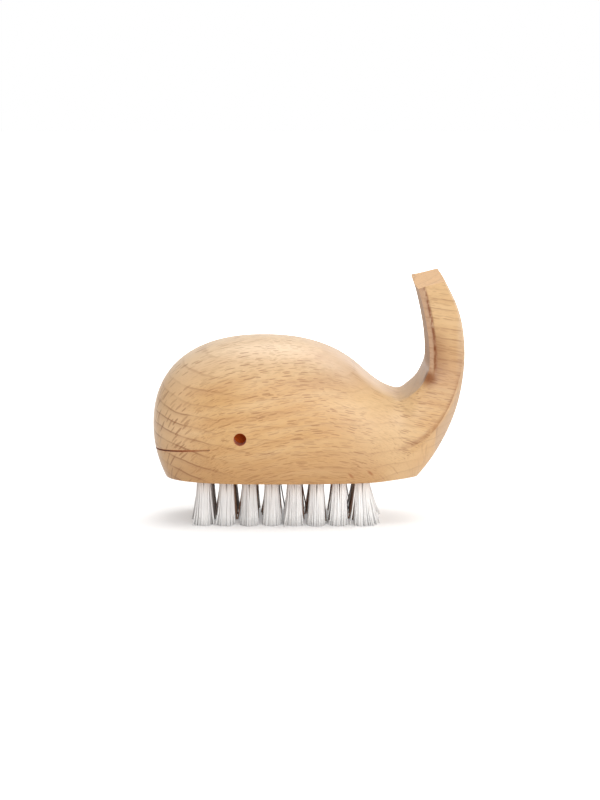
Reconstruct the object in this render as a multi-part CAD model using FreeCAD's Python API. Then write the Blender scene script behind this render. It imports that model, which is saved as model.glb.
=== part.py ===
import FreeCAD, Part
import math
import os

from FreeCAD import Vector

# Lengths are in millimetres, angles in degrees. X runs from the nose to the tail, Y across the brush, Z up.
# The origin is under the middle of the brush, on the plane of the bristle tips.

# Body, seen from the side. Every rise is measured up from the flat underside.
BODY_LENGTH = 100.0
BODY_WIDTH = 39.0
NOSE_RISE = 15.5
CROWN_RISE = 45.2
SADDLE_RISE = 27.6
CROWN_FROM_NOSE = 37.0
BELLY_DEPTH = 23.0           # how far the round belly would reach below the underside, which is planed flat
CROWN_EASE = 0.69            # how long the back stays level behind the crown, of its run to the saddle
SADDLE_EASE = 0.20           # how long it runs level before the saddle

# Tail, seen from the side
NECK_OVER_SADDLE = 11.4
NECK_BEHIND_SADDLE = 9.9
NECK_THICKNESS = 11.6
TIP_OVER_NECK = 23.5
TIP_THICKNESS = 8.7
TIP_LEAN = 4.2               # how far the tip hangs forward of the neck
TIP_SLOPE = 2.2              # how much the back edge of the sawn end is above the front edge

# Tail, seen along the brush
SADDLE_WIDTH = 30.0
NECK_WIDTH = 27.0
FLUKE_WIDTH = 40.0
PLATE_BOW = 0.3              # how far the front of the tail bulges forward across its width
PLATE_THICKNESS = 1.1        # of the front plate of the tail, where its edge shows as a lip
LIP = 1.0                    # how far the plate stands out beside the scooped flank
SCOOP = 1.0                  # how much of the flank it takes to fall from the lip
KEEL_WIDTH = 9.0             # across the keel at the heel
BEVEL = 0.6                  # on the back edges of the tail
CREASE_LOW = 0.50            # how far down the section the stern facet begins, at the saddle
CREASE_HIGH = 0.93           # and at the neck

# Roundness: two is an ellipse, more is boxier
FOREHEAD_POWER = 2.4
CHIN_POWER = 1.85
CHEEK_POWER = 2.6
DOME_POWER = 2.4
FLANK_POWER = 3.0

# How late a change comes along the tail: one is even, more is later
FLARE_POWER = 1.7
LEAN_POWER = 1.7
TAIL_BACK_POWER = 2.4
KEEL_SPREAD_POWER = 1.5
CREASE_CLIMB_POWER = 1.0

# Rounded section: where it is widest, and the angles of its edges, from the middle of the back to the keel
WIDEST_SHARE = 0.45
RIDGE_ANGLE = 40.0
CREASE_ANGLE = 115.0
KEEL_ANGLE = 150.0
KEEL_SHARE = 0.985

# Face
EYE_DIAMETER = 4.0
EYE_DEPTH = 5.0
EYE_FROM_NOSE = 28.6
EYE_RISE = 14.5
DRILL_POINT = 118.0
MOUTH_RISE = 9.1
MOUTH_KERF = 0.4
MOUTH_DEPTH = 1.6            # at the nose, from where the saw cut runs out along both cheeks
MOUTH_REACH = 17.5
MOUTH_CLIMB = 5.4            # the angle at which the cut climbs from the nose

# Tufts and their anchors
BRISTLE_LENGTH = 15.0        # of what shows below the underside
TUFT_PITCH = 7.25
TUFT_DIAMETER = 4.4
TIP_GAP = 0.95               # between the tips of tufts side by side
HOLE_DEPTH = 9.0
HOLE_CLEARANCE = 0.05
FIELD_FROM_NOSE = 16.5       # from the nose to where the middles of the tufts may begin
FIELD_FROM_TAIL = 32.3
FIELD_FROM_SIDE = 8.5
FOLD_THICKNESS = 1.2         # of the filaments folded over the anchor
ANCHOR_THICKNESS = 0.4
ANCHOR_HEIGHT = 1.8
ANCHOR_BITE = 0.4            # how far each end of the anchor is driven into the wood
PARTING_WIDTH = 0.5          # between the two legs of a tuft, at the underside
PARTING_LENGTH = 6.0         # from the underside down to where the two legs meet

# Places worked out from the sizes
underside = BRISTLE_LENGTH
nose_x = -BODY_LENGTH / 2
back_x = BODY_LENGTH / 2
crown_x = nose_x + CROWN_FROM_NOSE
neck_x = back_x - NECK_THICKNESS
saddle_x = neck_x - NECK_BEHIND_SADDLE
nose_z = underside + NOSE_RISE
crown_z = underside + CROWN_RISE
saddle_z = underside + SADDLE_RISE
neck_z = saddle_z + NECK_OVER_SADDLE
belly_z = underside - BELLY_DEPTH
half_body = BODY_WIDTH / 2
half_saddle = SADDLE_WIDTH / 2
half_neck = NECK_WIDTH / 2
half_fluke = FLUKE_WIDTH / 2
half_keel = KEEL_WIDTH / 2
far = 2 * BODY_LENGTH
middle = Vector(0, 0, 0)
across = Vector(0, 1, 0)


def spread(first, last, steps):
    return [first + (last - first) * step for step in steps]


def even_steps(first, last, count):
    return spread(first, last, [k / count for k in range(count + 1)])


def mixed(first, second, share):
    return tuple(a + (b - a) * share for a, b in zip(first, second))


def raised(value, power):
    return math.copysign(abs(value) ** (2 / power), value)


def bezier(ends, share):
    a, b, c, d = ends
    rest = 1 - share
    return tuple(rest ** 3 * p + 3 * rest ** 2 * share * q + 3 * rest * share ** 2 * r + share ** 3 * s
                 for p, q, r, s in zip(a, b, c, d))


def egg_point(angle, half_width):
    # A point of the rounded section: its share of the way down, and its distance from the middle plane.
    turn = math.radians(angle)
    upper = math.cos(turn) > 0
    power = DOME_POWER if upper else FLANK_POWER
    reach = WIDEST_SHARE if upper else 1 - WIDEST_SHARE
    size = (abs(math.cos(turn)) ** power + abs(math.sin(turn)) ** power) ** (-1 / power)
    return WIDEST_SHARE - reach * size * math.cos(turn), half_width * size * math.sin(turn)


def lip_share(depth):
    # How much of the lip is left, at a depth behind the front of the tail.
    fallen = min(max((depth - PLATE_THICKNESS) / SCOOP, 0), 1)
    return 1 - fallen * fallen * (3 - 2 * fallen)


def section(top, bottom, half_width, flank, keel, crease, fin_share):
    # A ring of six edges across the body: back, flank, facet, keel, and the facet and flank of the far side.
    # It is between the rounded section of the body and the squarer one of the tail.
    length = math.hypot(bottom[0] - top[0], bottom[1] - top[1])
    axis = Vector(bottom[0] - top[0], 0, bottom[1] - top[1]) / length

    def place(point):
        return Vector(top[0], point[1], top[1]) + axis * (point[0] * length)

    def heading(first, second):
        way = place(second) - place(first)
        return way.normalize()

    def edge(first_angle, last_angle, steps, fin_points):
        angles = spread(first_angle, last_angle, steps)
        points = [mixed(egg_point(angle, half_width), fin, fin_share)
                  for angle, fin in zip(angles, fin_points)]
        ends = []
        for angle, pair in ((first_angle, points[:2]), (last_angle, points[-2:])):
            round_way = heading(egg_point(angle - 0.5, half_width), egg_point(angle + 0.5, half_width))
            ends.append(round_way * (1 - fin_share) + heading(*pair) * fin_share)
        curve = Part.BSplineCurve()
        curve.interpolate(Points=[place(p) for p in points], Parameters=steps,
                          InitialTangent=ends[0], FinalTangent=ends[1])
        return curve.toShape()

    bow = PLATE_BOW / length
    steps = even_steps(0, 1, 6)
    wide = even_steps(-1, 1, 6)
    back = edge(-RIDGE_ANGLE, RIDGE_ANGLE, steps, [(bow * k * k, half_width * k) for k in wide])
    under = edge(KEEL_ANGLE, 360 - KEEL_ANGLE, steps,
                 [(1 - (1 - KEEL_SHARE) * k * k, -keel * k) for k in wide])
    facet = edge(CREASE_ANGLE, KEEL_ANGLE, steps,
                 list(zip(spread(crease, KEEL_SHARE, steps), spread(flank, keel, steps))))
    steps = even_steps(0, 0.4, 8) + even_steps(0.55, 1, 3)
    downs = spread(bow, crease, steps)
    outs = [flank + (half_width - flank) * lip_share((down - bow) * length) for down in downs]
    side = edge(RIDGE_ANGLE, CREASE_ANGLE, steps, list(zip(downs, outs)))
    return Part.Wire([back, side, facet, under, facet.mirror(middle, across), side.mirror(middle, across)])


def head_rings():
    # From the nose to the crown.
    for angle in (2, 14, 28, 42, 57, 73, 90):
        turn = math.radians(angle)
        share = raised(math.cos(turn), FOREHEAD_POWER) if angle < 90 else 0
        x = crown_x - CROWN_FROM_NOSE * share
        top = nose_z + (crown_z - nose_z) * raised(math.sin(turn), FOREHEAD_POWER)
        bottom = nose_z - (nose_z - belly_z) * (1 - share ** CHIN_POWER) ** (1 / CHIN_POWER)
        half = half_body * (1 - share ** CHEEK_POWER) ** (1 / CHEEK_POWER)
        yield section((x, top), (x, bottom), half, half, half_keel, CREASE_LOW, 0)


def hull_point(turn):
    # A point of the round keel line, from under the crown at 90 degrees up to the back of the neck at none.
    return crown_x + (back_x - crown_x) * math.cos(turn), neck_z - (neck_z - belly_z) * math.sin(turn)


def back_rings():
    # From the crown to the saddle.
    run = saddle_x - crown_x
    line = [(crown_x, crown_z), (crown_x + CROWN_EASE * run, crown_z),
            (saddle_x - SADDLE_EASE * run, saddle_z), (saddle_x, saddle_z)]
    for share, fin_share in ((0.25, 0), (0.5, 0.04), (0.75, 0.16), (1, 0.36)):
        top = bezier(line, share)
        bottom = hull_point(math.acos((top[0] - crown_x) / (back_x - crown_x)))
        half = half_body + (half_saddle - half_body) * share ** 2
        yield section(top, bottom, half, half, half_keel, CREASE_LOW, fin_share)


def root_rings():
    # From the saddle to the neck: the sections turn as the tail curls up.
    lowest = math.acos((saddle_x - crown_x) / (back_x - crown_x))
    for share, fin_share in ((0.25, 0.56), (0.5, 0.75), (0.75, 0.9), (1, 1)):
        turn = math.radians(90 * (1 - share))
        top = (saddle_x + NECK_BEHIND_SADDLE * math.cos(turn), neck_z - NECK_OVER_SADDLE * math.sin(turn))
        bottom = hull_point(lowest * (1 - share))
        half = half_saddle + (half_neck - half_saddle) * share
        flank = half - LIP * share
        keel = half_keel + (flank - BEVEL - half_keel) * share ** KEEL_SPREAD_POWER
        crease = CREASE_LOW + (CREASE_HIGH - CREASE_LOW) * share ** CREASE_CLIMB_POWER
        yield section(top, bottom, half, flank, keel, crease, fin_share)


def tail_ends(share):
    front = (neck_x - TIP_LEAN * share ** LEAN_POWER, neck_z + TIP_OVER_NECK * share)
    tip_back = neck_x - TIP_LEAN + TIP_THICKNESS
    back = (back_x - (back_x - tip_back) * share ** TAIL_BACK_POWER,
            neck_z + (TIP_OVER_NECK + TIP_SLOPE) * share)
    return front, back


def tail_rings():
    # From the neck to a little past the sawn end.
    for share in (0.22, 0.45, 0.68, 0.9, 1.15):
        front, back = tail_ends(share)
        half = half_neck + (half_fluke - half_neck) * share ** FLARE_POWER
        flank = half - LIP
        yield section(front, back, half, flank, flank - BEVEL, CREASE_HIGH, 1)


def make_blank():
    # The carved wood before its holes are drilled, planed below and sawn across at the tip of the tail.
    rings = [*head_rings(), *back_rings(), *root_rings(), *tail_rings()]
    skin = Part.makeLoft(rings, True, False)
    above = Part.makeBox(far, far, far, Vector(-far / 2, -far / 2, underside))
    front, back = tail_ends(1)
    slope = math.degrees(math.atan2(back[1] - front[1], back[0] - front[0]))
    waste = Part.makeBox(far, far, far, Vector(-far / 2, -far / 2, 0))
    waste.rotate(middle, across, -slope)
    waste.translate(Vector(front[0], 0, front[1]))
    return skin.common(above).cut(waste)


def make_eyes(blank):
    # Two drilled blind holes, one on each side.
    x = nose_x + EYE_FROM_NOSE
    z = underside + EYE_RISE
    cheek = Part.makeLine(Vector(x, 0, z), Vector(x, far, z)).common(blank).BoundBox.YMax
    floor = cheek - EYE_DEPTH
    radius = EYE_DIAMETER / 2
    point = radius / math.tan(math.radians(DRILL_POINT / 2))
    bore = Part.makeCylinder(radius, far, Vector(x, floor, z), across)
    tip = Part.makeCone(0, radius, point, Vector(x, floor - point, z), across)
    eye = bore.fuse(tip)
    return [eye, eye.mirror(middle, across)]


def make_mouth():
    # A saw cut round the nose, which leaves a round core standing and so runs out along the cheeks.
    lip_z = underside + MOUTH_RISE
    core_x = nose_x + MOUTH_DEPTH + MOUTH_REACH
    slab = Part.makeBox(far, far, MOUTH_KERF, Vector(core_x - far, -far / 2, lip_z - MOUTH_KERF / 2))
    slab.rotate(Vector(nose_x, 0, lip_z), across, -MOUTH_CLIMB)
    core = Part.makeCylinder(MOUTH_REACH, far, Vector(core_x, 0, 0))
    return slab.cut(core)


# Tufts, each folded double over an anchor that is driven across its hole
hole_radius = TUFT_DIAMETER / 2 + HOLE_CLEARANCE
tip_radius = (TUFT_PITCH - TIP_GAP) / 2
hole_end = underside + HOLE_DEPTH
anchor_top = hole_end - FOLD_THICKNESS
anchor_low = anchor_top - ANCHOR_HEIGHT
anchor_length = 2 * (hole_radius + ANCHOR_BITE)
columns = math.floor((BODY_LENGTH - FIELD_FROM_NOSE - FIELD_FROM_TAIL) / TUFT_PITCH) + 1
rows = math.floor((BODY_WIDTH - 2 * FIELD_FROM_SIDE) / TUFT_PITCH) + 1
field_x = (FIELD_FROM_NOSE - FIELD_FROM_TAIL) / 2


def tuft_places():
    for row in range(rows):
        for column in range(columns):
            x = field_x + (column - (columns - 1) / 2) * TUFT_PITCH
            y = (row - (rows - 1) / 2) * TUFT_PITCH
            yield f"tuft_r{row + 1}_c{column + 1}", Vector(x, y, 0)


def make_anchor():
    corner = Vector(-ANCHOR_THICKNESS / 2, -anchor_length / 2, anchor_low)
    return Part.makeBox(ANCHOR_THICKNESS, anchor_length, ANCHOR_HEIGHT, corner)


def make_tuft():
    radius = TUFT_DIAMETER / 2
    profile = [(0, 0), (tip_radius, 0), (radius, underside), (radius, hole_end), (0, hole_end)]
    outline = Part.makePolygon([Vector(x, 0, z) for x, z in profile + profile[:1]])
    bundle = Part.Face(outline).revolve(middle, Vector(0, 0, 1), 360)
    half_slot = ANCHOR_THICKNESS / 2
    half_parting = PARTING_WIDTH / 2
    cleft = [(-half_slot, anchor_top), (half_slot, anchor_top), (half_slot, anchor_low),
             (half_parting, underside), (0, underside - PARTING_LENGTH), (-half_parting, underside),
             (-half_slot, anchor_low)]
    outline = Part.makePolygon([Vector(x, -TUFT_PITCH / 2, z) for x, z in cleft + cleft[:1]])
    return bundle.cut(Part.Face(outline).extrude(Vector(0, TUFT_PITCH, 0)))


places = list(tuft_places())
anchor = make_anchor()
tuft = make_tuft()
drilling = Part.makeCylinder(hole_radius, hole_end).fuse(anchor)
blank = make_blank()
cuts = [*make_eyes(blank), make_mouth(), *(drilling.translated(place) for name, place in places)]

nodes = {"body": blank.cut(cuts)}
nodes["tuft_anchors"] = Part.makeCompound([anchor.translated(place) for name, place in places])
for name, place in places:
    nodes[name] = tuft.translated(place)

os.makedirs("parts", exist_ok=True)
for name, shape in nodes.items():
    shape.exportStep(f"parts/{name}.step")
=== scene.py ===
import math

import bpy
import numpy as np
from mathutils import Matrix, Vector


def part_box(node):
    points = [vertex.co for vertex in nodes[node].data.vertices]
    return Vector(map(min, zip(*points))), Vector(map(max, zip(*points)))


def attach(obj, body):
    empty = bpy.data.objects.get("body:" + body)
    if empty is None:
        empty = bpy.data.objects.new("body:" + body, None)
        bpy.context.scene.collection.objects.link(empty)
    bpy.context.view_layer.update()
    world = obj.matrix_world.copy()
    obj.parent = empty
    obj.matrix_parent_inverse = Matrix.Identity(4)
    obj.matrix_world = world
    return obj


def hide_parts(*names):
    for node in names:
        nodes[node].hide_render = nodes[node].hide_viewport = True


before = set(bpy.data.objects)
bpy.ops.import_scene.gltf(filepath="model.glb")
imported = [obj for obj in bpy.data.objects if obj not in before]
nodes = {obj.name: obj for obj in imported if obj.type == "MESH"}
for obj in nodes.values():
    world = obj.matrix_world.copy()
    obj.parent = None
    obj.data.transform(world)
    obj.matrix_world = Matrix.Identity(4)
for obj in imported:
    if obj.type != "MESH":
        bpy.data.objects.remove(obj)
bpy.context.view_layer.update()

mm = 0.001
tuftNames = sorted(name for name in nodes if name.startswith("tuft_r"))
print("frame loaded:", len(nodes), "nodes,", len(tuftNames), "tufts")


def paint(red, green, blue):
    # a colour given as it looks on screen, turned into the linear values that a shader takes
    shares = [value / 255 for value in (red, green, blue)]
    return tuple(s / 12.92 if s <= 0.04045 else ((s + 0.055) / 1.055) ** 2.4 for s in shares) + (1.0,)


class Bench:
    # the node tree of a material or of the room, with short ways to add what it needs

    def __init__(self, owner):
        owner.use_nodes = True
        self.owner = owner
        self.tree = owner.node_tree
        self.tree.nodes.clear()

    def add(self, kind, **settings):
        node = self.tree.nodes.new(kind)
        for key, value in settings.items():
            setattr(node, key, value)
        return node

    def feed(self, socket, value):
        if isinstance(value, bpy.types.NodeSocket):
            self.tree.links.new(value, socket)
        else:
            socket.default_value = value

    def reckon(self, operation, *values):
        node = self.add("ShaderNodeMath", operation=operation)
        for socket, value in zip(node.inputs, values):
            self.feed(socket, value)
        return node.outputs[0]

    def chain(self, operation, values):
        # one operation over all the values, from left to right
        total = values[0]
        for value in values[1:]:
            total = self.reckon(operation, total, value)
        return total

    def plus(self, *values):
        return self.chain("ADD", values)

    def minus(self, *values):
        return self.chain("SUBTRACT", values)

    def times(self, *values):
        return self.chain("MULTIPLY", values)

    def over(self, *values):
        return self.chain("DIVIDE", values)

    def most(self, *values):
        return self.chain("MAXIMUM", values)

    def vector(self, x, y, z):
        node = self.add("ShaderNodeCombineXYZ")
        for socket, value in zip(node.inputs, (x, y, z)):
            self.feed(socket, value)
        return node.outputs[0]

    def reckonVector(self, operation, first, second):
        node = self.add("ShaderNodeVectorMath", operation=operation)
        self.feed(node.inputs[0], first)
        self.feed(node.inputs["Scale"] if operation == "SCALE" else node.inputs[1], second)
        return node.outputs[0]

    def parts(self, vector):
        node = self.add("ShaderNodeSeparateXYZ")
        self.feed(node.inputs[0], vector)
        return tuple(node.outputs)

    def far(self, first, second):
        # the length of a slanted side, from its two upright ones
        return self.reckon("SQRT", self.plus(self.times(first, first), self.times(second, second)))

    def apart(self, x, z, spot):
        # how far a place is from a spot, seen from the side
        return self.far(self.minus(x, spot["x"]), self.minus(z, spot["z"]))

    def noise(self, place, scale, detail=2.0, roughness=0.5):
        node = self.add("ShaderNodeTexNoise")
        self.feed(node.inputs["Vector"], place)
        self.feed(node.inputs["Scale"], scale)
        self.feed(node.inputs["Detail"], detail)
        self.feed(node.inputs["Roughness"], roughness)
        return node

    def streaks(self, place, scales, detail=2.0, roughness=0.5):
        # noise drawn out by a scale for each direction
        return self.noise(self.reckonVector("MULTIPLY", place, scales), 1.0, detail, roughness).outputs[0]

    def span(self, value, low, high, first=0.0, last=1.0):
        # the value's way from low to high, eased, as a way from first to last
        node = self.add("ShaderNodeMapRange", interpolation_type="SMOOTHSTEP")
        for socket, number in zip(node.inputs, (value, low, high, first, last)):
            self.feed(socket, number)
        return node.outputs[0]

    def hump(self, value, start, full, fade, end, height=1.0):
        # nothing up to start, the height between full and fade, and nothing again from end on
        return self.times(self.span(value, start, full, 0.0, height), self.span(value, end, fade))

    def ramp(self, value, stops):
        node = self.add("ShaderNodeValToRGB")
        elements = node.color_ramp.elements
        while len(elements) < len(stops):
            elements.new(1.0)
        for element, (place, shade) in zip(elements, stops):
            element.position = place
            element.color = shade if isinstance(shade, tuple) else (shade, shade, shade, 1.0)
        self.feed(node.inputs[0], value)
        return node.outputs[0]

    def mix(self, share, first, second, way="MIX"):
        node = self.add("ShaderNodeMix", data_type="RGBA", blend_type=way)
        self.feed(node.inputs[0], share)
        self.feed(node.inputs[6], first)
        self.feed(node.inputs[7], second)
        return node.outputs[2]

    def bump(self, height, strength, distance):
        node = self.add("ShaderNodeBump")
        self.feed(node.inputs["Strength"], strength)
        self.feed(node.inputs["Distance"], distance)
        self.feed(node.inputs["Height"], height)
        return node.outputs[0]

    def finish(self, **sockets):
        shader = self.add("ShaderNodeBsdfPrincipled")
        for name, value in sockets.items():
            self.feed(shader.inputs[name.replace("_", " ")], value)
        output = self.add("ShaderNodeOutputMaterial")
        self.tree.links.new(shader.outputs[0], output.inputs[0])
        return self.owner


# beech: growth rings round a pith that lay low on the far side, at a tilt, and rays that run out from it
# lengths are in mm: x from nose to tail, y to the far side, z up from the tips of the bristles
# a share says how much of a tint shows, from 0 to 1
beech = {
    "log": {
        "pithY": 14.0, "pithZ": -10.0, "tilt": 14.0,          # tilt in degrees
        "turnRadius": 56.0,                                   # where a way round the pith is measured
        "bend": 26.0, "bendFrom": -10.0, "bendTo": 75.0,      # how far the grain dips, from x to x
        "wanders": ((3.0, 0.035, 2.0), (0.6, 0.25, 1.0)),     # reach, scale per mm and detail of each
        "endFrom": 0.06, "endTo": 0.5,                        # how far a face turns to show end grain
        "blotchScale": 0.5, "blotchFrom": 0.3, "blotchTo": 0.6, "blotchLeast": 0.45,
    },
    "regions": {
        "noseFrom": -14.0, "noseTo": -34.0, "sternFrom": 16.0, "sternTo": 34.0,    # x
        "slopeFrom": -8.0, "slopeTo": 14.0,                   # x, where the crown slopes to the tail
        "cheekZ": 32.0, "footLow": 44.0, "footHigh": 52.0,    # z, the last two of the foot of the tail
    },
    "rings": {
        "wood": paint(136, 88, 50), "pitch": 3.3,
        "uneven": 0.5, "unevenScale": 0.21,                   # of a pitch, and per mm
        "dip": 10.0, "dipFrom": -55.0, "dipTo": 5.0,          # how far the rings fall along the head
        # how dark a ring is, from its inside to its outside
        "line": ((0.0, 0.5), (0.04, 0.0), (0.55, 0.03), (0.86, 0.3), (0.93, 1.0), (1.0, 0.9)),
        "patchScale": 0.12, "patchFrom": 0.36, "patchTo": 0.62, "patchLeast": 0.3,
        "noseTurn": 0.3, "noseLeast": 0.3, "noseMost": 0.75,  # more where the nose turns away
        "browZ": 52.0, "browShare": 0.4,
        "flankLow": 0.24, "flankHigh": 0.16,                  # shares at the cheek and at the brow
        "tailFrom": 44.0, "tailTo": 54.0, "tailShare": 0.45,  # z, where they begin to show more again
    },
    "rays": {
        "wood": paint(126, 72, 26),
        "end": {"room": (0.6, 4.0, 9.0), "keep": 0.75, "share": 0.6},      # room round, along and out
        "side": {"room": (0.36, 5.6, 0.7), "keep": 0.8, "share": 0.55},
        "hair": {"room": (0.22, 3.4, 0.45), "keep": 0.8, "share": 0.3},
        "edgeFrom": 0.42, "edgeTo": 0.32,                     # of the room
        "keepEase": 0.06, "faintest": 0.35,
        "sternShare": 0.4,                                    # of those on end grain, away from the nose
        "quarterFrom": 0.85, "quarterShare": 0.5,             # where a face runs along the rays
    },
    "bands": {
        "scales": (0.16, 0.03, 0.28),                         # round, along and out, per mm
        "tones": ((0.28, paint(196, 148, 93)), (0.5, paint(204, 159, 103)), (0.72, paint(213, 174, 123))),
    },
    "endTint": {"wood": paint(219, 183, 143), "noseShare": 0.6, "otherShare": 0.15},
    "sternLightTint": {
        "wood": paint(217, 184, 140), "share": 0.6, "footShare": 0.5, "facetShare": 0.2, "tailShare": 0.5,
        "startX": 0.0, "fullX": 25.0, "fadeX": 30.0, "tailZ": 62.0,
    },
    "backLightTint": {
        "wood": paint(216, 190, 160), "share": 0.6,
        "turnFrom": 0.2, "turnTo": 0.6,                       # how far a face turns to the back
        "rimFrom": 46.5, "rimTo": 49.0,                       # x, the back edge of the tail
    },
    "lowShadeTint": {"wood": paint(180, 134, 82), "share": 0.8, "sternShare": 0.2, "fullZ": 14.0},
    "crownHighlightTint": {
        "wood": paint(218, 193, 161), "share": 0.8, "slopeShare": 0.4, "lowZ": 41.0, "highZ": 60.0,
    },
    "slopeShadeTint": {"wood": paint(186, 160, 136), "share": 0.6, "lowZ": 40.0, "highZ": 52.0},
    "tailRootShadeTint": {
        "wood": paint(184, 140, 94), "share": 0.7, "x": 43.0, "z": 50.0, "reach": 16.0, "core": 2.0,
    },
    "plate": {
        "wood": paint(178, 143, 116), "share": 0.85,          # painted shade and painted reflection on the flat front of the tail
        "edgeFrom": -0.2, "edgeTo": -0.8,                     # from the crease
        "topFrom": 0.7, "topTo": 0.4,                         # how far a face turns up before it ends
    },
    "nookShade": {
        "wood": paint(142, 92, 48), "share": 0.6, "reach": 6.0,    # painted shade behind the crease
        "lowZ": 46.0, "fullZ": 51.0, "fadeZ": 58.0, "topZ": 68.0,
    },
    "tip": {
        "wood": paint(208, 160, 104), "share": 0.8,           # the sawn end of the tail
        "turnFrom": 0.6, "turnTo": 0.8, "lowZ": 70.0, "highZ": 73.0,
    },
    "heel": {
        "x": 27.0, "z": 54.0, "long": 22.2, "deep": 29.0, "power": 1.85,    # the stern's crease
        # the bands run across the crease, which is at 1, from the flank to the facet: painted shade above
        # it, painted light below
        "dark": paint(140, 84, 40), "darkShare": 0.6, "darkBand": (0.86, 0.98, 1.0, 1.05),
        "pale": paint(190, 147, 96), "paleShare": 0.5, "paleBand": (1.0, 1.05, 1.08, 1.2),
        "fromX": 26.0, "toX": 36.0, "turnFrom": 0.75, "turnTo": 0.5, "topShare": 0.3,
    },
    # painted light: the last facet paler, as it faces the light behind
    "facet": {
        "wood": paint(186, 153, 120), "share": 0.7, "x": 40.9, "edge": 0.4, "start": 1.0, "full": 1.06,
    },
    # painted shade in the sawn mouth, darkest towards the nose
    "mouth": {
        "wood": paint(160, 82, 34), "share": 0.9,
        "x": -50.0, "z": 24.1, "climb": 5.4,                  # climb in degrees
        "half": 0.4, "core": 0.24, "darkX": -42.0, "paleX": -27.0,
    },
    # painted shade and warm bounce light inside the drilled eyes
    "eye": {"wood": paint(188, 84, 10), "x": -21.4, "z": 29.5, "radius": 2.06, "core": 2.0},
    "crease": {
        "x": 40.5, "z": 54.0, "lean": 4.2, "rise": 23.5, "power": 1.7,    # beside the plate
        # painted shade along the crease
        "share": 0.9, "half": 0.95, "core": 0.1,
        "flankFrom": 9.0, "flankTo": 12.0, "topFrom": 0.8, "topTo": 0.6,
    },
    # painted shade with a dark stain at the foot of the crease
    "footShadeAndStain": {"wood": paint(116, 58, 16), "share": 0.85, "x": 38.4, "z": 47.8, "reach": 4.2, "core": 0.3},
    "marks": {
        "wood": paint(140, 70, 20), "share": 0.6, "places": ((13.8, 17.6), (20.0, 18.3)),    # x and z
        "reach": 0.9, "core": 0.2, "squeeze": 0.35,
    },
    "surface": {
        "fibreScales": (3.0, 0.2, 2.4), "fibreDetail": 3.0, "fibreRoughness": 0.6,
        "fibreTones": ((0.3, 0.9), (0.7, 1.0)), "fibreShare": 0.8,
        "fibreHeight": 0.5, "rayDepth": 0.8,                  # of the bump's height
        "bumpStrength": 0.16, "bumpHeight": 0.3,
        "fibreFrom": 0.2, "fibreTo": 0.8, "smoothest": 0.32, "roughest": 0.44,
        "specular": 0.5, "sheen": 0.3, "sheenRoughness": 0.35, "sheenTint": (1.0, 0.86, 0.74, 1.0),
    },
}


class WoodPlace:
    # where a point lies on the brush and in the log, and which way its face looks

    def __init__(self, bench):
        coord = bench.add("ShaderNodeTexCoord")
        self.place = bench.reckonVector("SCALE", coord.outputs["Object"], 1 / mm)
        self.x, self.y, self.z = bench.parts(self.place)
        self.normalX, self.normalY, self.normalZ = bench.parts(coord.outputs["Normal"])
        self.turned = bench.reckon("ABSOLUTE", self.normalX)
        region = beech["regions"]
        self.onNose = bench.span(self.x, region["noseFrom"], region["noseTo"])
        self.onStern = bench.span(self.x, region["sternFrom"], region["sternTo"])
        self.readLog(bench, beech["log"])
        self.readCrease(bench, beech["crease"])

    def readLog(self, bench, look):
        # along the pith, out from it and round it, on a place that wanders a little
        grown = self.place
        for reach, scale, detail in look["wanders"]:
            stray = bench.noise(self.place, scale, detail).outputs["Color"]
            stray = bench.reckonVector("SUBTRACT", stray, (0.5, 0.5, 0.5))    # the middle of the noise
            grown = bench.reckonVector("ADD", grown, bench.reckonVector("SCALE", stray, reach))
        self.grownX, grownY, self.grownZ = bench.parts(grown)
        cosine = math.cos(math.radians(look["tilt"]))
        sine = math.sin(math.radians(look["tilt"]))
        along = bench.plus(bench.times(self.grownX, cosine), bench.times(self.grownZ, sine))
        level = bench.minus(bench.times(self.grownZ, cosine), bench.times(self.grownX, sine))
        bend = bench.span(self.grownX, look["bendFrom"], look["bendTo"], 0.0, look["bend"])
        self.rise = bench.plus(bench.minus(level, look["pithZ"]), bend)
        self.side = bench.minus(grownY, look["pithY"])
        self.out = bench.far(self.side, self.rise)
        roundabout = bench.times(bench.reckon("ARCTAN2", self.side, self.rise), look["turnRadius"])
        self.inLog = bench.vector(roundabout, along, self.out)
        self.endGrain = bench.span(self.turned, look["endFrom"], look["endTo"])
        blotch = bench.noise(self.place, look["blotchScale"]).outputs[0]
        self.blotch = bench.span(blotch, look["blotchFrom"], look["blotchTo"], look["blotchLeast"], 1.0)

    def readCrease(self, bench, look):
        # how far behind the crease beside the front plate of the tail
        climb = bench.most(bench.over(bench.minus(self.z, look["z"]), look["rise"]), 0.0)
        lean = bench.times(bench.reckon("POWER", climb, look["power"]), look["lean"])
        self.creaseGap = bench.minus(self.x, bench.minus(look["x"], lean))


def ringShare(bench, wood):
    # growth rings, clearest on the nose and the tail
    look = beech["rings"]
    cheekZ = beech["regions"]["cheekZ"]
    uneven = bench.vector(0.0, 0.0, bench.times(wood.out, look["unevenScale"]))
    uneven = bench.times(bench.noise(uneven, 1.0, 1.0).outputs[0], look["uneven"])
    dip = bench.span(wood.x, look["dipFrom"], look["dipTo"], 0.0, look["dip"])
    count = bench.plus(bench.over(bench.plus(wood.out, dip), look["pitch"]), uneven)
    line = bench.ramp(bench.reckon("FRACT", count), look["line"])
    patch = bench.noise(wood.place, look["patchScale"]).outputs[0]
    patch = bench.span(patch, look["patchFrom"], look["patchTo"], look["patchLeast"], 1.0)
    turned = bench.span(wood.turned, 0.0, look["noseTurn"], look["noseLeast"], look["noseMost"])
    onNose = bench.times(turned, wood.onNose,
                         bench.span(wood.z, look["browZ"], cheekZ, look["browShare"], 1.0))
    onFlank = bench.span(wood.z, cheekZ, look["browZ"], look["flankLow"], look["flankHigh"])
    onTail = bench.times(bench.span(wood.z, look["tailFrom"], look["tailTo"], 0.0, look["tailShare"]),
                         wood.onStern)
    return bench.times(line, patch, bench.most(onNose, onFlank, onTail))


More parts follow.
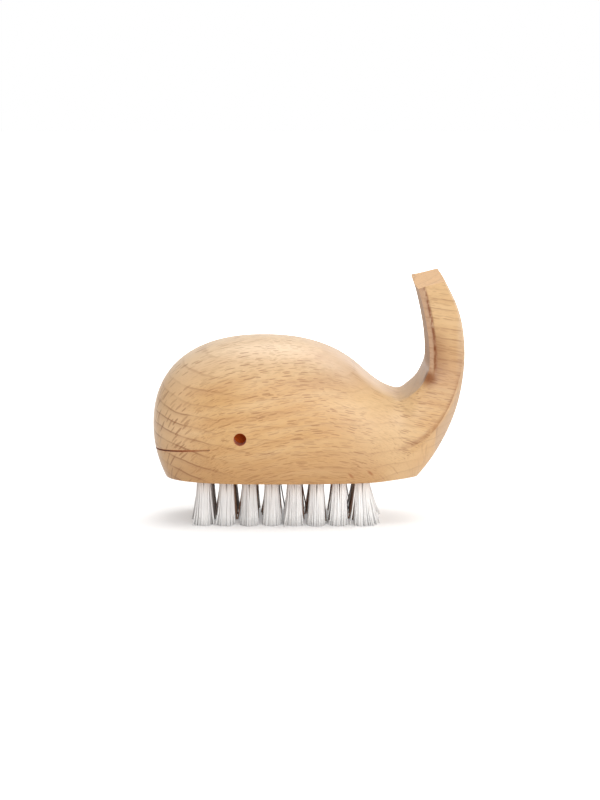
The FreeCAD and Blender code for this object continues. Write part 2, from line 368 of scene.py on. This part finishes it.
def rayDashes(bench, wood, ray):
    # thin sheets that run out from the pith, cut into dashes by the surface
    look = beech["rays"]
    cell = bench.add("ShaderNodeTexVoronoi", feature="F1")
    bench.feed(cell.inputs["Scale"], 1.0)
    bench.feed(cell.inputs["Vector"], bench.reckonVector("DIVIDE", wood.inLog, ray["room"]))
    chance = bench.add("ShaderNodeSeparateColor")
    bench.feed(chance.inputs[0], cell.outputs["Color"])
    dash = bench.span(cell.outputs["Distance"], look["edgeFrom"], look["edgeTo"])
    lost = 1 - ray["keep"]
    kept = bench.span(chance.outputs[0], lost, lost + look["keepEase"])
    depth = bench.span(chance.outputs[1], 0.0, 1.0, look["faintest"], 1.0)
    return bench.times(dash, kept, depth, ray["share"])


def rayShare(bench, wood):
    # broad dashes on end grain, short flecks and finer hairs on the flanks
    look = beech["rays"]
    flat = bench.minus(1.0, wood.endGrain)
    end = bench.times(wood.endGrain, bench.span(wood.onNose, 0.0, 1.0, look["sternShare"], 1.0))
    share = bench.most(bench.times(rayDashes(bench, wood, look["end"]), end),
                       bench.times(rayDashes(bench, wood, look["side"]), flat),
                       bench.times(rayDashes(bench, wood, look["hair"]), flat))
    # fainter where a face runs along the rays
    quarter = bench.minus(bench.times(wood.normalY, wood.rise), bench.times(wood.normalZ, wood.side))
    quarter = bench.reckon("ABSOLUTE", bench.over(quarter, wood.out))
    return bench.times(share, bench.span(quarter, look["quarterFrom"], 1.0, 1.0, look["quarterShare"]))


def groundColour(bench, wood):
    # bands of colour along the log, the end grain's own tint, and over them broad tints of painted light
    # and painted shade on each region
    region = beech["regions"]
    offStern = bench.span(wood.onStern, 0.0, 1.0, 1.0, 0.0)
    band = bench.streaks(wood.inLog, beech["bands"]["scales"])
    colour = bench.ramp(band, beech["bands"]["tones"])

    look = beech["endTint"]
    share = bench.times(wood.endGrain,
                        bench.span(wood.onNose, 0.0, 1.0, look["otherShare"], look["noseShare"]))
    colour = bench.mix(share, colour, look["wood"])

    # painted light: the stern paler and pinker, as the light falls on it from behind on the right
    look = beech["sternLightTint"]
    flank = bench.times(bench.span(wood.x, look["startX"], look["fullX"], 0.0, look["share"]),
                        bench.span(wood.z, region["footHigh"], region["footLow"], look["footShare"], 1.0),
                        bench.span(wood.x, beech["facet"]["x"], look["fadeX"], look["facetShare"], 1.0))
    tail = bench.times(bench.span(wood.z, region["footHigh"], look["tailZ"], 0.0, look["tailShare"]),
                       wood.onStern)
    colour = bench.mix(bench.most(flank, tail), colour, look["wood"])

    # painted light: paler where a face turns to the back, and a painted highlight along the back edge of
    # the tail
    look = beech["backLightTint"]
    turnedBack = bench.most(bench.span(wood.normalX, look["turnFrom"], look["turnTo"]),
                            bench.span(wood.x, look["rimFrom"], look["rimTo"]))
    share = bench.times(turnedBack, wood.onStern,
                        bench.span(wood.z, region["footLow"], region["footHigh"], 0.0, look["share"]))
    colour = bench.mix(share, colour, look["wood"])

    # painted shade: darker towards the bottom of the flank, away from the overhead light
    look = beech["lowShadeTint"]
    share = bench.times(bench.span(wood.z, region["cheekZ"], look["fullZ"], 0.0, look["share"]),
                        bench.span(wood.onStern, 0.0, 1.0, 1.0, look["sternShare"]))
    colour = bench.mix(share, colour, look["wood"])

    # painted highlight: the crown paler and greyer, where the overhead light shines on it
    look = beech["crownHighlightTint"]
    slope = bench.span(wood.x, region["slopeFrom"], region["slopeTo"], 1.0, look["slopeShare"])
    top = bench.span(wood.z, look["lowZ"], look["highZ"], 0.0, look["share"])
    share = bench.times(top, slope, offStern)
    colour = bench.mix(share, colour, look["wood"])

    # painted shade: the slope from the crown down to the tail toned down, to damp its highlight
    look = beech["slopeShadeTint"]
    slope = bench.span(wood.x, region["slopeFrom"], region["slopeTo"], 0.0, look["share"])
    share = bench.times(bench.span(wood.z, look["lowZ"], look["highZ"]), slope, offStern)
    colour = bench.mix(share, colour, look["wood"])

    # painted shade round the root of the tail, on its lower flank
    look = beech["tailRootShadeTint"]
    share = bench.span(bench.apart(wood.x, wood.z, look), look["reach"], look["core"], 0.0, look["share"])
    return bench.mix(share, colour, look["wood"])


def tailTints(bench, wood, colour):
    # painted shade and painted reflection on the front plate of the tail, painted shade in the nook
    # behind its crease, and the sawn end
    # painted shade and painted reflection on the flat front plate
    front = beech["plate"]
    ahead = bench.span(wood.creaseGap, front["edgeFrom"], front["edgeTo"], 0.0, front["share"])
    plate = bench.times(ahead, wood.onStern,
                        bench.span(wood.z, beech["footShadeAndStain"]["z"], beech["crease"]["z"]),
                        bench.span(wood.normalZ, front["topFrom"], front["topTo"]))
    colour = bench.mix(plate, colour, front["wood"])

    # painted shade on the flank behind the crease
    look = beech["nookShade"]
    behind = bench.hump(wood.creaseGap, front["edgeTo"], front["edgeFrom"], 0.0, look["reach"])
    upright = bench.hump(wood.z, look["lowZ"], look["fullZ"], look["fadeZ"], look["topZ"], look["share"])
    nookShade = bench.times(behind, upright)
    colour = bench.mix(nookShade, colour, look["wood"])

    look = beech["tip"]
    tip = bench.times(bench.span(wood.normalZ, look["turnFrom"], look["turnTo"]),
                      bench.span(wood.z, look["lowZ"], look["highZ"], 0.0, look["share"]))
    return bench.mix(tip, colour, look["wood"]), plate, tip


def sternTints(bench, wood, colour):
    # painted shade above the stern's crease and painted light below it, and painted light on the last
    # facet
    look = beech["heel"]
    back = bench.over(bench.most(bench.minus(wood.x, look["x"]), 0.0), look["long"])
    down = bench.over(bench.most(bench.minus(look["z"], wood.z), 0.0), look["deep"])
    heel = bench.plus(bench.reckon("POWER", back, look["power"]),
                      bench.reckon("POWER", down, look["power"]))
    show = bench.times(bench.span(wood.x, look["fromX"], look["toX"]),
                       wood.blotch,
                       bench.span(wood.normalX, look["turnFrom"], look["turnTo"]),
                       bench.span(wood.z, look["z"], beech["regions"]["footLow"], look["topShare"], 1.0))
    # painted shade above the crease and painted light below it
    for tone in ("dark", "pale"):
        share = bench.times(bench.hump(heel, *look[tone + "Band"], look[tone + "Share"]), show)
        colour = bench.mix(share, colour, look[tone])

    # painted light: the last facet paler, as it faces the light behind
    look = beech["facet"]
    behind = bench.span(wood.x, look["x"] - look["edge"], look["x"] + look["edge"], 0.0, look["share"])
    share = bench.times(behind, bench.span(heel, look["start"], look["full"]))
    return bench.mix(share, colour, look["wood"])


def faceCuts(bench, wood, colour):
    # painted shade in the sawn mouth, darker towards the nose, and painted shade with warm bounce light
    # inside the drilled eyes
    look = beech["mouth"]
    climb = math.tan(math.radians(look["climb"]))
    lipZ = bench.plus(bench.times(bench.minus(wood.x, look["x"]), climb), look["z"])
    lipGap = bench.reckon("ABSOLUTE", bench.minus(wood.z, lipZ))
    lip = bench.times(bench.span(lipGap, look["half"], look["core"]),
                      bench.span(wood.x, look["paleX"], look["darkX"], 0.0, look["share"]))
    colour = bench.mix(lip, colour, look["wood"])

    # painted shade and warm bounce light inside the eye
    look = beech["eye"]
    eye = bench.span(bench.apart(wood.x, wood.z, look), look["radius"], look["core"])
    return bench.mix(eye, colour, look["wood"]), lip, eye


def tailCrease(bench, wood, colour):
    # painted shade: a darker line in the crease beside the front plate, deepest at its foot, where a dark
    # stain is painted with it
    look = beech["crease"]
    footShadeAndStain = beech["footShadeAndStain"]
    line = bench.times(bench.span(bench.reckon("ABSOLUTE", wood.creaseGap), look["half"], look["core"]),
                       bench.span(wood.z, footShadeAndStain["z"], look["z"], 0.0, look["share"]),
                       wood.blotch)
    # painted shade and a dark stain at the foot of the crease
    foot = bench.apart(wood.grownX, wood.grownZ, footShadeAndStain)
    foot = bench.span(foot, footShadeAndStain["reach"], footShadeAndStain["core"], 0.0, footShadeAndStain["share"])
    crease = bench.times(bench.most(line, foot),
                         bench.span(bench.reckon("ABSOLUTE", wood.y), look["flankFrom"], look["flankTo"]),
                         bench.span(wood.normalZ, look["topFrom"], look["topTo"]))
    return bench.mix(crease, colour, footShadeAndStain["wood"]), crease


def brownMarks(bench, wood, colour):
    # small marks low on the flank, drawn out on a slant
    look = beech["marks"]
    for markX, markZ in look["places"]:
        right = bench.minus(wood.x, markX)
        up = bench.minus(wood.z, markZ)
        gap = bench.far(bench.times(bench.minus(right, up), look["squeeze"]), bench.plus(right, up))
        share = bench.span(gap, look["reach"], look["core"], 0.0, look["share"])
        colour = bench.mix(share, colour, look["wood"])
    return colour


def beechFinish():
    look = beech["surface"]
    bench = Bench(bpy.data.materials.new("oiledBeech"))
    wood = WoodPlace(bench)
    fibre = bench.streaks(wood.inLog, look["fibreScales"], look["fibreDetail"], look["fibreRoughness"])
    rays = rayShare(bench, wood)

    colour = groundColour(bench, wood)
    colour, plate, tip = tailTints(bench, wood, colour)
    colour = sternTints(bench, wood, colour)
    colour = bench.mix(look["fibreShare"], colour, bench.ramp(fibre, look["fibreTones"]), "MULTIPLY")
    colour = bench.mix(ringShare(bench, wood), colour, beech["rings"]["wood"])
    colour = bench.mix(rays, colour, beech["rays"]["wood"])
    colour, lip, eye = faceCuts(bench, wood, colour)
    colour, crease = tailCrease(bench, wood, colour)
    colour = brownMarks(bench, wood, colour)

    oiled = bench.span(fibre, look["fibreFrom"], look["fibreTo"], look["smoothest"], look["roughest"])
    height = bench.minus(bench.times(fibre, look["fibreHeight"]), bench.times(rays, look["rayDepth"]))
    return bench.finish(
        Base_Color=colour,
        Roughness=bench.most(oiled, plate, tip, eye, lip, crease),
        Specular_IOR_Level=look["specular"],
        Sheen_Weight=look["sheen"],
        Sheen_Roughness=look["sheenRoughness"],
        Sheen_Tint=look["sheenTint"],
        Normal=bench.bump(height, look["bumpStrength"], look["bumpHeight"] * mm),
    )


# bristle: pale and a little glossy, with some duller, warmer filaments among the white ones, and painted
# shade on the hidden rows and towards the left end
# lengths are in mm, along the axes that the beech has
bristle = {
    "strandScales": (2.6, 2.6, 0.05), "strandRoughness": 0.6,    # per mm
    "strandTones": ((0.32, paint(242, 238, 234)), (0.5, paint(250, 249, 248))),
    "shade": {"tone": paint(224, 221, 219), "share": 0.8, "tipShare": 0.1, "fromX": 12.0, "toX": -10.0},
    "hiddenRowShade": {
        "tone": paint(222, 176, 142), "share": 0.9,           # painted shade on the rows that the outer ones hide
        "fromY": 8.2, "toY": 6.4, "ends": (-31.0, -28.0, 13.5, 16.5),
    },
    "root": {"tone": paint(200, 172, 150), "share": 0.4, "lowZ": 8.0, "highZ": 15.5},
    "gloss": {"low": 0.2, "high": 0.8, "dull": 0.5, "shiny": 0.32},
}


def bristleFinish():
    bench = Bench(bpy.data.materials.new("paleBristle"))
    coord = bench.add("ShaderNodeTexCoord")
    place = bench.reckonVector("SCALE", coord.outputs["Object"], 1 / mm)
    x, y, z = bench.parts(place)
    strand = bench.streaks(place, bristle["strandScales"], roughness=bristle["strandRoughness"])
    colour = bench.ramp(strand, bristle["strandTones"])
    root = bristle["root"]

    look = bristle["shade"]
    share = bench.times(bench.span(x, look["fromX"], look["toX"], 0.0, look["share"]),
                        bench.span(z, 0.0, root["lowZ"], look["tipShare"], 1.0))
    colour = bench.mix(share, colour, look["tone"])

    # painted shade on the hidden rows
    look = bristle["hiddenRowShade"]
    inside = bench.span(bench.reckon("ABSOLUTE", y), look["fromY"], look["toY"], 0.0, look["share"])
    share = bench.times(inside, bench.hump(x, *look["ends"]))
    colour = bench.mix(share, colour, look["tone"])

    share = bench.span(z, root["lowZ"], root["highZ"], 0.0, root["share"])
    colour = bench.mix(share, colour, root["tone"])
    look = bristle["gloss"]
    roughness = bench.span(strand, look["low"], look["high"], look["dull"], look["shiny"])
    return bench.finish(Base_Color=colour, Roughness=roughness)


# brass: the flat wire of the anchors, drawn along its length
brass = {
    "drawnScales": (9.0, 0.4, 9.0),       # per mm
    "tones": ((0.3, paint(176, 138, 70)), (0.7, paint(214, 176, 98))),
    "gloss": {"low": 0.2, "high": 0.8, "dull": 0.34, "shiny": 0.22},
}


def brassFinish():
    bench = Bench(bpy.data.materials.new("anchorBrass"))
    coord = bench.add("ShaderNodeTexCoord")
    place = bench.reckonVector("SCALE", coord.outputs["Object"], 1 / mm)
    drawn = bench.streaks(place, brass["drawnScales"])
    look = brass["gloss"]
    roughness = bench.span(drawn, look["low"], look["high"], look["dull"], look["shiny"])
    return bench.finish(Base_Color=bench.ramp(drawn, brass["tones"]), Metallic=1.0, Roughness=roughness)


def dress(name, material):
    mesh = nodes[name].data
    mesh.materials.clear()
    mesh.materials.append(material)


beechWood = beechFinish()
paleBristle = bristleFinish()
dress("body", beechWood)
dress("tuft_anchors", brassFinish())
print("finishes made: beech, bristle, brass")


# tufts: filaments folded double over the anchor, in two legs that close up below the wood and flare out
tuft = {
    "strands": 84,               # folded filaments in one tuft
    "radius": 0.23,              # mm, of a filament
    "sides": 5,
    "rootRadius": 2.05,          # mm, of the bundle in its hole
    "unevenness": 0.05,          # of the bundle's radius, how far a filament is off its place
    "bends": (0.0, 3.0, 6.5, 10.5),    # mm below the underside, where a leg is given a point
    "parting": 0.3,              # mm, half the gap between the legs at the underside
    "partingEnd": 10.0,          # mm below the underside, where the legs have closed up
    "partingEase": 1.5,          # how soon they close up
    "flare": 1.25,               # how late the bundle opens
    "tipShift": 0.108,           # mm, how far a tip strays
    "lean": 0.27,                # mm, how far a whole tuft leans
    "trim": 0.35,                # mm, how unevenly the tips are cut
    "strays": 3,                 # filaments that stand off, in one leg of a tuft
    "strayReach": 1.3,           # mm
    "strayCore": 1.0,            # mm from the middle, within which a stray one moves less
    "tailSplay": 1.9,            # mm, how far the last column opens towards the tail
    "splayMost": 1.5,            # of the tip radius, beyond which it opens no further
    "foldRise": 0.35,            # mm, how much higher the outermost filaments fold
    "crest": 0.12,               # mm, from the fold up to its middle
    "shoulder": 0.25,            # mm, from the fold down to its sides
    "seed": 7,
}
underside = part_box("body")[0].z / mm
anchorLow, anchorTop = (corner.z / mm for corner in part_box("tuft_anchors"))


def halfDisc(count, rng):
    # even places in a half disc of radius one, on the positive side, with a little wander
    turn = math.pi * (3 - math.sqrt(5))
    k = np.arange(2 * count)
    radius = np.sqrt((k + 0.5) / (2 * count))
    angle = k * turn + rng.uniform(0, 2 * math.pi)
    places = np.stack([radius * np.cos(angle), radius * np.sin(angle)], axis=1)
    places = places[np.argsort(-places[:, 0])][:count]
    places += rng.uniform(-tuft["unevenness"], tuft["unevenness"], places.shape)
    places[:, 0] = np.abs(places[:, 0])
    return places


def legLine(places, sign, tipPlaces, tipRise):
    # points down one leg of every filament, from beside the anchor to the tip
    root = tuft["rootRadius"]
    lines = []
    for height in [anchorLow] + [underside - drop for drop in tuft["bends"]]:
        fall = np.clip((underside - height) / underside, 0, 1)
        opening = fall ** tuft["flare"]
        closing = np.clip((underside - height) / tuft["partingEnd"], 0, 1)
        gap = tuft["parting"] * (1 - closing) ** tuft["partingEase"]
        x = sign * (gap + places[:, 0] * (root - gap))
        y = places[:, 1] * root
        x = x + (tipPlaces[:, 0] - sign * places[:, 0] * root) * opening
        y = y + (tipPlaces[:, 1] - places[:, 1] * root) * opening
        lines.append(np.stack([x, y, np.full_like(x, height)], axis=1))
    lines.append(np.concatenate([tipPlaces, tipRise[:, None]], axis=1))
    return np.stack(lines, axis=1)


def filaments(tipRadius, splay, rng):
    # centre lines of all filaments of one tuft: strand, point, place in mm
    count = tuft["strands"]
    places = halfDisc(count, rng)
    lean = rng.normal(0, tuft["lean"], 2)
    legs = []
    for sign in (-1, 1):
        tips = np.stack([sign * places[:, 0], places[:, 1]], axis=1) * (tipRadius - tuft["radius"])
        tips += rng.normal(0, tuft["tipShift"], tips.shape) + lean
        stray = rng.choice(count, tuft["strays"], replace=False)
        offMiddle = np.maximum(np.linalg.norm(tips[stray], axis=1, keepdims=True), tuft["strayCore"])
        tips[stray] *= 1 + tuft["strayReach"] / offMiddle
        tips[:, 0] += splay * np.clip(tips[:, 0] / tipRadius, 0, tuft["splayMost"])
        rise = tuft["trim"] * rng.random(count) ** 2
        legs.append(legLine(places, sign, tips, rise))
    left, right = legs
    foldTop = anchorTop + tuft["radius"] + tuft["foldRise"] * places[:, 0]
    crestY = places[:, 1] * tuft["rootRadius"]
    crest = np.stack([np.zeros(count), crestY, foldTop + tuft["crest"]], axis=1)
    shoulders = []
    for leg in legs:
        shoulder = leg[:, 0].copy()
        shoulder[:, 2] = foldTop - tuft["shoulder"]
        shoulders.append(shoulder)
    fold = [shoulders[0][:, None], crest[:, None], shoulders[1][:, None]]
    return np.concatenate([left[:, ::-1]] + fold + [right], axis=1)


def tubes(lines, radius, sides):
    # closed tubes along the lines: corner places and faces
    count, points, _ = lines.shape
    way = np.gradient(lines, axis=1)
    way /= np.linalg.norm(way, axis=2, keepdims=True)
    across = np.zeros_like(way)
    across[..., 1] = 1
    across -= way * (across * way).sum(2, keepdims=True)
    across /= np.linalg.norm(across, axis=2, keepdims=True)
    outward = np.cross(way, across)
    turn = np.arange(sides) * 2 * math.pi / sides
    ring = np.cos(turn)[:, None] * across[:, :, None] + np.sin(turn)[:, None] * outward[:, :, None]
    corners = (lines[:, :, None] + radius * ring).reshape(-1, 3)
    faces = []
    for strand in range(count):
        base = strand * points * sides
        for level in range(points - 1):
            low = base + level * sides
            for k in range(sides):
                n = (k + 1) % sides
                faces.append((low + k, low + sides + k, low + sides + n, low + n))
        last = base + (points - 1) * sides
        faces.append(tuple(base + k for k in range(sides)))
        faces.append(tuple(last + k for k in reversed(range(sides))))
    return corners, faces


def makeTuft(name, rng, lastColumn):
    low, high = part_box(name)
    middle = (low + high) / 2
    tipRadius = (high.x - low.x) / 2 / mm
    lines = filaments(tipRadius, tuft["tailSplay"] if lastColumn else 0.0, rng)
    corners, faces = tubes(lines, tuft["radius"], tuft["sides"])
    corners = corners + np.array([middle.x / mm, middle.y / mm, 0.0])
    corners[:, 2] = np.maximum(corners[:, 2], 0.0)
    mesh = bpy.data.meshes.new(name.replace("tuft", "filaments"))
    mesh.from_pydata((corners * mm).tolist(), [], faces)
    mesh.polygons.foreach_set("use_smooth", [len(face) == 4 for face in faces])
    mesh.materials.append(paleBristle)
    mesh.update()
    piece = bpy.data.objects.new(mesh.name, mesh)
    bpy.context.scene.collection.objects.link(piece)
    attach(piece, "root")
    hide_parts(name)


rng = np.random.default_rng(tuft["seed"])
lastColumn = max(name.split("_c")[1] for name in tuftNames)
for name in tuftNames:
    makeTuft(name, rng, name.endswith("_c" + lastColumn))
print("tufts made:", len(tuftNames), "of", tuft["strands"], "folded filaments")


# studio: a white floor that keeps the shadow, a pale room, and soft lights overhead, in front and behind
studio = {
    "floorSize": 6.0,                      # metres, as all lengths here
    "floor": (0.86, 0.855, 0.85, 1.0),
    "liftNear": 0.3, "liftFar": 1.0,       # white that only the eye sees, to meet the backdrop
    "liftFrom": 0.1, "liftTo": 0.45,       # from the middle of the brush
    "room": 0.42,
    "mirrored": 0.6,
    "lights": {
        "overhead": {"place": (0.12, 0.05, 0.75), "size": 0.6, "power": 4.3},    # watts
        "front": {"place": (0.3, -0.85, 0.2), "size": 0.7, "power": 6.2},
        "behind": {"place": (0.5, 0.6, 0.4), "size": 0.7, "power": 2.3},
    },
    "aim": (0.0, 0.0, 0.03),
}


def seenDirectly(bench):
    # one where the eye or glass looks at it, less where a shine does, none where it lights the object
    path = bench.add("ShaderNodeLightPath")
    mirrored = bench.times(path.outputs["Is Glossy Ray"], studio["mirrored"])
    return bench.most(path.outputs["Is Camera Ray"], mirrored, path.outputs["Is Transmission Ray"])


def makeFloor():
    half = studio["floorSize"] / 2
    mesh = bpy.data.meshes.new("studioFloor")
    corners = [(-half, -half, 0), (half, -half, 0), (half, half, 0), (-half, half, 0)]
    mesh.from_pydata(corners, [], [(0, 1, 2, 3)])
    bench = Bench(bpy.data.materials.new("whitePaper"))
    lift = bench.add("ShaderNodeEmission")
    x, y = bench.parts(bench.add("ShaderNodeTexCoord").outputs["Object"])[:2]
    white = bench.span(bench.far(x, y), studio["liftFrom"], studio["liftTo"],
                       studio["liftNear"], studio["liftFar"])
    bench.feed(lift.inputs["Strength"], bench.times(seenDirectly(bench), white))
    paper = bench.add("ShaderNodeBsdfDiffuse")
    bench.feed(paper.inputs["Color"], studio["floor"])
    both = bench.add("ShaderNodeAddShader")
    bench.feed(both.inputs[0], paper.outputs[0])
    bench.feed(both.inputs[1], lift.outputs[0])
    output = bench.add("ShaderNodeOutputMaterial")
    bench.feed(output.inputs[0], both.outputs[0])
    mesh.materials.append(bench.owner)
    floor = bpy.data.objects.new("studioFloor", mesh)
    bpy.context.scene.collection.objects.link(floor)


def makeRoom():
    world = bpy.data.worlds.new("studioRoom")
    bench = Bench(world)
    light = bench.add("ShaderNodeBackground")
    bench.feed(light.inputs["Color"], (1.0, 1.0, 1.0, 1.0))
    shown = bench.times(seenDirectly(bench), 1 - studio["room"])
    bench.feed(light.inputs["Strength"], bench.plus(shown, studio["room"]))
    output = bench.add("ShaderNodeOutputWorld")
    bench.feed(output.inputs[0], light.outputs[0])
    bpy.context.scene.world = world


def makeLight(name, setting):
    lamp = bpy.data.lights.new(name + "Softbox", "AREA")
    lamp.shape = "SQUARE"
    lamp.size = setting["size"]
    lamp.energy = setting["power"]
    light = bpy.data.objects.new(lamp.name, lamp)
    bpy.context.scene.collection.objects.link(light)
    light.location = setting["place"]
    aim = Vector(studio["aim"]) - light.location
    light.rotation_euler = aim.to_track_quat("-Z", "Y").to_euler()


makeFloor()
makeRoom()
for name, setting in studio["lights"].items():
    makeLight(name, setting)
bpy.context.scene.view_settings.view_transform = "Standard"
print("studio made")


# camera: nearly level, square to the side of the brush
camera = {
    "target": (-0.00243, 0.0, 0.03885), "distance": 0.65, "nearest": 0.01,    # metres
    "elevation": 10.0,                                                        # degrees
    "pixelsPerMm": 3.08, "imageHeight": 800,
    "filmLength": 36.0,                                                       # mm
}


def makeCamera():
    look = camera
    lens = bpy.data.cameras.new("camera")
    lens.sensor_width = look["filmLength"]
    lens.lens = look["pixelsPerMm"] * look["distance"] / mm * look["filmLength"] / look["imageHeight"]
    lens.clip_start = look["nearest"]
    eye = bpy.data.objects.new("camera", lens)
    bpy.context.scene.collection.objects.link(eye)
    tilt = math.radians(look["elevation"])
    back = Vector((0, -math.cos(tilt), math.sin(tilt)))
    eye.location = Vector(look["target"]) + back * look["distance"]
    eye.rotation_euler = (-back).to_track_quat("-Z", "Y").to_euler()
    bpy.context.scene.camera = eye


makeCamera()
print("camera made")
